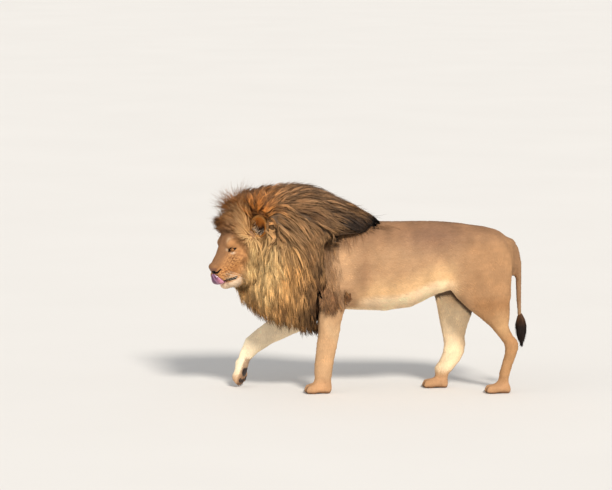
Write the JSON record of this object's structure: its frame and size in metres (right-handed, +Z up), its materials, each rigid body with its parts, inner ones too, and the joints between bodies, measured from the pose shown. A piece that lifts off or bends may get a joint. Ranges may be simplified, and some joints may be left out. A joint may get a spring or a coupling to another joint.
{
  "type": "lion",
  "caption": "Adult male lion in mid stride, head lowered and turned to its left, licking its nose; still life-size animal model that stands on its paws",
  "frame": {"origin": "Middle of the whole animal's footprint, on the floor under its paws", "axes": "+Z up, the nose points to -Y, the lion's left side is +X"},
  "size_m": [0.5562, 2.0334, 1.325],
  "materials": {
    "coat": "short tan fur",
    "pale_coat": "short pale fur",
    "chin": "white chin hair",
    "ear": "short hair, dark behind",
    "mane": "long hair, blond to brown and black",
    "dark_hair": "black tuft",
    "nose": "moist nose skin",
    "tongue": "wet tongue",
    "eye": "clear wet eye"
  },
  "bodies": {
    "root": {"trunk": "coat", "neck": "coat", "head": "coat", "jaw": "chin", "nose": "nose", "tongue": "tongue", "eye_left": "eye", "ear_left": "ear", "eye_right": "eye", "ear_right": "ear", "tail": "coat", "tail_tuft": "dark_hair", "foreleg_left_upper": "coat", "foreleg_left_lower": "pale_coat", "foreleg_left_paw": "pale_coat", "foreleg_right_upper": "coat", "foreleg_right_lower": "pale_coat", "foreleg_right_paw": "pale_coat", "hindleg_left_upper": "coat", "hindleg_left_lower": "pale_coat", "hindleg_left_paw": "pale_coat", "hindleg_right_upper": "coat", "hindleg_right_lower": "pale_coat", "hindleg_right_paw": "pale_coat", "mane": "mane"}
  },
  "joints": []
}
